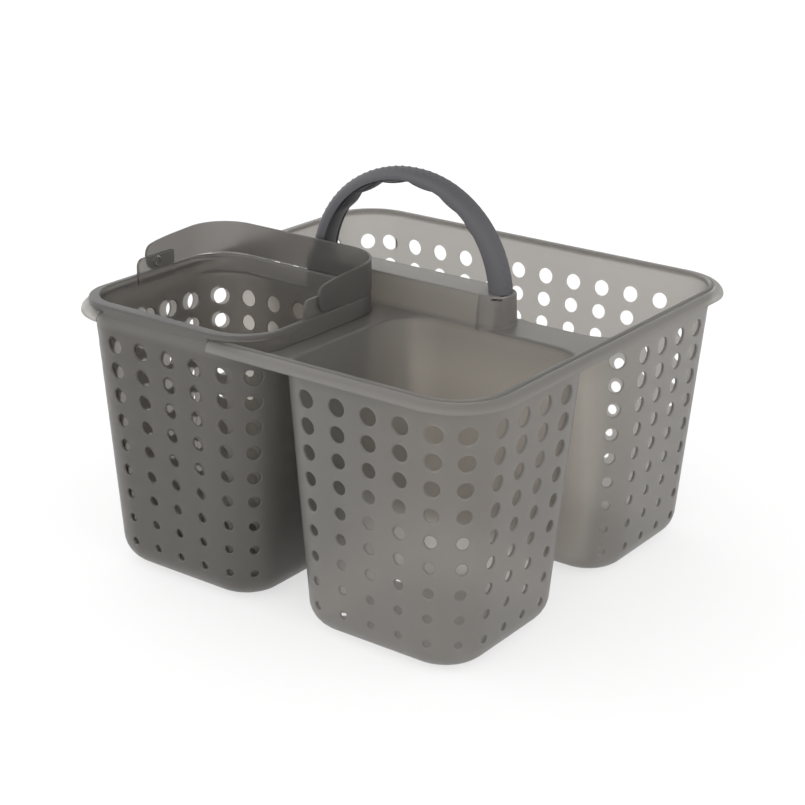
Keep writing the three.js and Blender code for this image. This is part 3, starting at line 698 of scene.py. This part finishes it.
def plastic(name, tint_a, tint_b, through, rough, smoke, density, ior=1.40, spec=0.35, basket_pot_painted_shade=1.0):
    """Smoky translucent polypropylene: rough transmission blurs what is behind, and a milky share scatters."""
    m = bpy.data.materials.new(name)
    m.use_nodes = True
    nt = m.node_tree
    pr = nt.nodes["Principled BSDF"]
    co = node(nt, "ShaderNodeTexCoord")
    big = node(nt, "ShaderNodeTexNoise")
    big.inputs["Scale"].default_value = 9.0
    big.inputs["Detail"].default_value = 2.0
    nt.links.new(co.outputs["Object"], big.inputs["Vector"])
    mx = node(nt, "ShaderNodeMix", data_type="RGBA")
    mx.inputs[6].default_value = (*tint_a, 1)
    mx.inputs[7].default_value = (*tint_b, 1)
    nt.links.new(big.outputs["Fac"], mx.inputs[0])
    tone = mx.outputs[2]
    if basket_pot_painted_shade < 1.0:
        # painted shade: the pot that holds the basket is darkened, standing in for the shade cast by the basket inside
        # it
        xyz = node(nt, "ShaderNodeSeparateXYZ")
        nt.links.new(co.outputs["Object"], xyz.inputs[0])
        size = []
        for axis in (0, 1):
            ab = node(nt, "ShaderNodeMath", operation="ABSOLUTE")
            nt.links.new(xyz.outputs[axis], ab.inputs[0])
            size.append(ab.outputs[0])
        x, y, z = xyz.outputs

        def shade(tone, rgb, ranges):
            """Multiply the colour inside a soft-edged box: painted shade where the factor is below one, painted light
            where it is above one.
            """
            mask = None
            for value, lo, hi in ranges:
                mr = node(nt, "ShaderNodeMapRange")
                mr.inputs["From Min"].default_value, mr.inputs["From Max"].default_value = lo, hi
                nt.links.new(value, mr.inputs["Value"])
                if mask is None:
                    mask = mr.outputs["Result"]
                    continue
                mul = node(nt, "ShaderNodeMath", operation="MULTIPLY")
                nt.links.new(mask, mul.inputs[0])
                nt.links.new(mr.outputs["Result"], mul.inputs[1])
                mask = mul.outputs[0]
            mix = node(nt, "ShaderNodeMix", data_type="RGBA", blend_type="MULTIPLY")
            nt.links.new(mask, mix.inputs[0])
            nt.links.new(tone, mix.inputs[6])
            mix.inputs[7].default_value = (*rgb, 1)
            return mix.outputs[2]

        # painted shade on pot B's walls below the ledge
        tone = shade(tone, (basket_pot_painted_shade, basket_pot_painted_shade * 0.985, basket_pot_painted_shade * 0.975), ((x, -0.0035, -0.010), (y, -0.0125, -0.0165), (z, 0.159, 0.155)))
        # painted light: the dividing walls, more so low down, and the bridge are lightened, standing in for light
        # inside the pots and the gap
        tone = shade(tone, (1.24, 1.23, 1.21), ((size[1], 0.026, 0.021), (size[0], 0.132, 0.118), (z, 0.160, 0.1565)))
        tone = shade(tone, (1.24, 1.245, 1.245), ((size[1], 0.028, 0.023), (size[0], 0.132, 0.118), (z, 0.150, 0.128)))
        tone = shade(tone, (1.18, 1.17, 1.15), ((size[1], 0.026, 0.021), (size[0], 0.132, 0.118), (z, 0.1615, 0.1635)))
    nt.links.new(tone, pr.inputs["Base Color"])
    fine = node(nt, "ShaderNodeTexNoise")
    fine.inputs["Scale"].default_value = 420.0
    fine.inputs["Detail"].default_value = 3.0
    nt.links.new(co.outputs["Object"], fine.inputs["Vector"])
    rr = node(nt, "ShaderNodeMapRange")
    rr.inputs["To Min"].default_value = rough - 0.05
    rr.inputs["To Max"].default_value = rough + 0.05
    nt.links.new(big.outputs["Fac"], rr.inputs["Value"])
    nt.links.new(rr.outputs["Result"], pr.inputs["Roughness"])
    bp = node(nt, "ShaderNodeBump")
    bp.inputs["Strength"].default_value = 0.08
    bp.inputs["Distance"].default_value = 0.0004
    nt.links.new(fine.outputs["Fac"], bp.inputs["Height"])
    nt.links.new(bp.outputs["Normal"], pr.inputs["Normal"])
    pr.inputs["IOR"].default_value = ior
    pr.inputs["Transmission Weight"].default_value = through
    pr.inputs["Specular IOR Level"].default_value = spec
    # the smoke colour is in the depth of the wall, so edges and grazing views are darker
    vol = node(nt, "ShaderNodeVolumeAbsorption")
    vol.inputs["Color"].default_value = (*smoke, 1)
    vol.inputs["Density"].default_value = density
    nt.links.new(vol.outputs["Volume"], nt.nodes["Material Output"].inputs["Volume"])
    return m


def solid(name, a, b, rough, bump, scale):
    m = bpy.data.materials.new(name)
    m.use_nodes = True
    nt = m.node_tree
    pr = nt.nodes["Principled BSDF"]
    co = node(nt, "ShaderNodeTexCoord")
    n1 = node(nt, "ShaderNodeTexNoise")
    n1.inputs["Scale"].default_value = 26.0
    n1.inputs["Detail"].default_value = 4.0
    nt.links.new(co.outputs["Object"], n1.inputs["Vector"])
    mx = node(nt, "ShaderNodeMix", data_type="RGBA")
    mx.inputs[6].default_value, mx.inputs[7].default_value = (*a, 1), (*b, 1)
    nt.links.new(n1.outputs["Fac"], mx.inputs[0])
    nt.links.new(mx.outputs[2], pr.inputs["Base Color"])
    n2 = node(nt, "ShaderNodeTexNoise")
    n2.inputs["Scale"].default_value = scale
    n2.inputs["Detail"].default_value = 4.0
    nt.links.new(co.outputs["Object"], n2.inputs["Vector"])
    rr = node(nt, "ShaderNodeMapRange")
    rr.inputs["To Min"].default_value, rr.inputs["To Max"].default_value = rough - 0.07, rough + 0.07
    nt.links.new(n1.outputs["Fac"], rr.inputs["Value"])
    nt.links.new(rr.outputs["Result"], pr.inputs["Roughness"])
    bp = node(nt, "ShaderNodeBump")
    bp.inputs["Strength"].default_value = bump
    bp.inputs["Distance"].default_value = 0.0004
    nt.links.new(n2.outputs["Fac"], bp.inputs["Height"])
    nt.links.new(bp.outputs["Normal"], pr.inputs["Normal"])
    return m


# the last factor paints shade on pot B and switches on the painted light of the dividing walls and bridge
SMOKE = plastic("smoke_plastic", (0.575, 0.557, 0.530), (0.635, 0.617, 0.590), 0.87, 0.36, (0.36, 0.33, 0.30), 260.0, 1.30, 0.3, basket_pot_painted_shade=0.74)
SMOKE_K = plastic("smoke_plastic_basket", (0.448, 0.434, 0.413), (0.495, 0.481, 0.460), 0.87, 0.36, (0.36, 0.33, 0.30), 330.0, 1.30, 0.3)
SMOKE_B = plastic("smoke_plastic_bail", (0.335, 0.325, 0.309), (0.371, 0.359, 0.344), 0.87, 0.34, (0.36, 0.33, 0.30), 400.0, 1.30, 0.3)
RUBBER = solid("grip_rubber_soft", (0.047, 0.046, 0.051), (0.062, 0.060, 0.066), 0.62, 0.25, 900.0)
CORE = solid("core_dark_plastic", (0.030, 0.030, 0.033), (0.040, 0.040, 0.044), 0.42, 0.15, 500.0)

for o, mat, slot, rides, node_name in (
    (body, SMOKE, "body_plastic", "caddy", "caddy_body"), (grip, RUBBER, "grip_rubber", "caddy", "handle_grip"),
    (core, CORE, "core_plastic", "caddy", "handle_core"), (basket, SMOKE_K, "basket_plastic", "basket", "lift_out_basket"),
    (bail, SMOKE_B, "bail_plastic", "bail", "basket_bail")):
    o.data.materials.clear()
    o.data.materials.append(mat)
    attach(o, rides)
    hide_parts(node_name)
body.name = "tote_moulding"

# ------------------------------------------------------------------ stage, light and camera
def plain(name, rgb, glow):
    m = bpy.data.materials.new(name)
    m.use_nodes = True
    nt = m.node_tree
    pr = nt.nodes["Principled BSDF"]
    pr.inputs["Base Color"].default_value = (*rgb, 1)
    pr.inputs["Roughness"].default_value = 0.9
    pr.inputs["Emission Color"].default_value = (1, 1, 1, 1)
    pr.inputs["Emission Strength"].default_value = glow
    return m


R = 3000
floor = make("floor", [(-R, -R, -0.2), (R, -R, -0.2), (R, R, -0.2), (-R, R, -0.2)], [(0, 1, 2, 3)])
floor.data.materials.append(plain("floor_white", (0.35, 0.35, 0.35), 0.62))

world = bpy.data.worlds.new("studio")
bpy.context.scene.world = world
world.use_nodes = True
wn = world.node_tree
bg = wn.nodes["Background"]
bg.inputs[0].default_value = (1, 1, 1, 1)
# a white studio: one soft lobe of light for each side, (right, back, above) and (left, front)
SIDES = ((1, (2.20, 0.90, 0.46)), (-1, (2.20, 2.60, 0.0)))
tc = wn.nodes.new("ShaderNodeTexCoord")
lobes = []
for sign, weights in SIDES:
    turn = wn.nodes.new("ShaderNodeVectorMath")
    turn.operation = "MULTIPLY"
    turn.inputs[1].default_value = (sign, sign, sign)
    wn.links.new(tc.outputs["Generated"], turn.inputs[0])
    half = wn.nodes.new("ShaderNodeVectorMath")
    half.operation = "MAXIMUM"
    half.inputs[1].default_value = (0, 0, 0)
    wn.links.new(turn.outputs[0], half.inputs[0])
    sq = wn.nodes.new("ShaderNodeVectorMath")
    sq.operation = "MULTIPLY"
    wn.links.new(half.outputs[0], sq.inputs[0])
    wn.links.new(half.outputs[0], sq.inputs[1])
    dot = wn.nodes.new("ShaderNodeVectorMath")
    dot.operation = "DOT_PRODUCT"
    dot.inputs[1].default_value = weights
    wn.links.new(sq.outputs[0], dot.inputs[0])
    lobes.append(dot.outputs["Value"])
both = wn.nodes.new("ShaderNodeMath")
both.operation = "ADD"
wn.links.new(lobes[0], both.inputs[0])
wn.links.new(lobes[1], both.inputs[1])
wn.links.new(both.outputs[0], bg.inputs[1])

cam = bpy.data.objects.new("camera", bpy.data.cameras.new("camera"))
col.objects.link(cam)
r2, u2, fw = Vector((0.8094, 0.587, 0.0172)), Vector((-0.2228, 0.2798, 0.9338)), Vector((-0.5434, 0.7597, -0.3573))
back = -fw.normalized()
right = u2.cross(back).normalized()
upv = back.cross(right)
cam.matrix_world = Matrix(((right.x, upv.x, back.x, 0.62473), (right.y, upv.y, back.y, -0.87867), (right.z, upv.z, back.z, 0.50693), (0, 0, 0, 1)))
cam.data.sensor_width = 36.0
cam.data.lens = 1854.425 / 805 * 36.0
cam.data.clip_start, cam.data.clip_end = 0.05, 50
bpy.context.scene.camera = cam
bpy.context.scene.view_settings.view_transform = "Standard"
